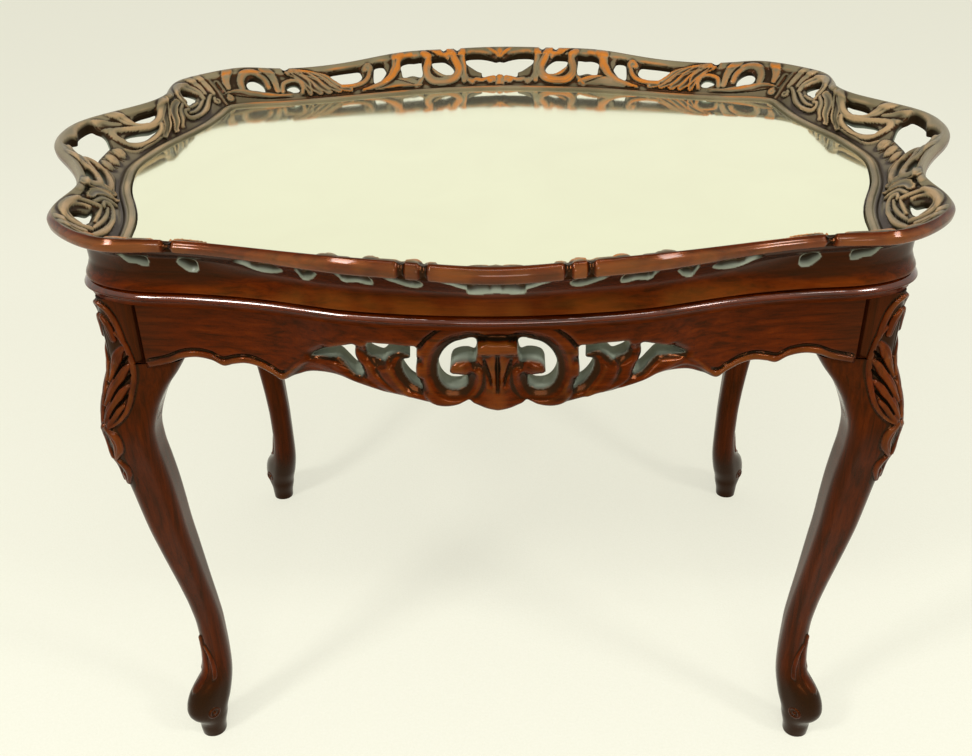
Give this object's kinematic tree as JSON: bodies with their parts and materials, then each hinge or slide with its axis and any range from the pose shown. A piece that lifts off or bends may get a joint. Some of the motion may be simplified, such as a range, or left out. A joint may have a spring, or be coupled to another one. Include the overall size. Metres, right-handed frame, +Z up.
{
  "type": "tray top tea table",
  "caption": "Low table with cabriole legs and shaped carved aprons, carrying a lift-off tray with a flared pierced gallery, hand-holds and a loose glass plate.",
  "frame": {"origin": "on the floor, under the centre of the table", "axes": "+X along the length, -Y to the front, +Z up"},
  "size_m": [0.78, 0.599, 0.544],
  "materials": {
    "polished_mahogany": "French polished, worn to orange on the high edges",
    "bare_poplar": "planed, unpolished",
    "bare_beech": "unpolished",
    "steel_screw": "plain, dulled",
    "silvered_glass": "polished, pale"
  },
  "bodies": {
    "table_base": {"leg_front_left": "polished_mahogany", "leg_front_right": "polished_mahogany", "leg_back_left": "polished_mahogany", "leg_back_right": "polished_mahogany", "apron_front": "polished_mahogany", "apron_back": "polished_mahogany", "apron_left": "polished_mahogany", "apron_right": "polished_mahogany", "frame_rail_front": "polished_mahogany", "frame_rail_back": "polished_mahogany", "frame_rail_left": "polished_mahogany", "frame_rail_right": "polished_mahogany", "cross_bearer": "bare_poplar", "corner_block_front_left": "bare_poplar", "corner_block_front_right": "bare_poplar", "corner_block_back_left": "bare_poplar", "corner_block_back_right": "bare_poplar", "glue_blocks": "bare_poplar", "apron_dowels": "bare_beech", "corner_block_screws": "steel_screw", "frame_screws": "steel_screw", "bearer_screws": "steel_screw"},
    "tray": {"gallery_front": "polished_mahogany", "gallery_back": "polished_mahogany", "gallery_left": "polished_mahogany", "gallery_right": "polished_mahogany", "mitre_splines": "bare_beech", "tray_panel": "polished_mahogany", "tray_cleat_left": "bare_poplar", "tray_cleat_right": "bare_poplar", "tray_cleat_front": "bare_poplar", "tray_cleat_back": "bare_poplar", "cleat_screws": "steel_screw"},
    "glass": {"glass_insert": "silvered_glass"}
  },
  "joints": [
    {"name": "tray_lift", "type": "slide", "parent": "table_base", "child": "tray", "axis": [0, 0, 1], "range_m": [0, 0.15]},
    {"name": "glass_lift", "type": "slide", "parent": "tray", "child": "glass", "axis": [0, 0, 1], "range_m": [0, 0.08]}
  ]
}
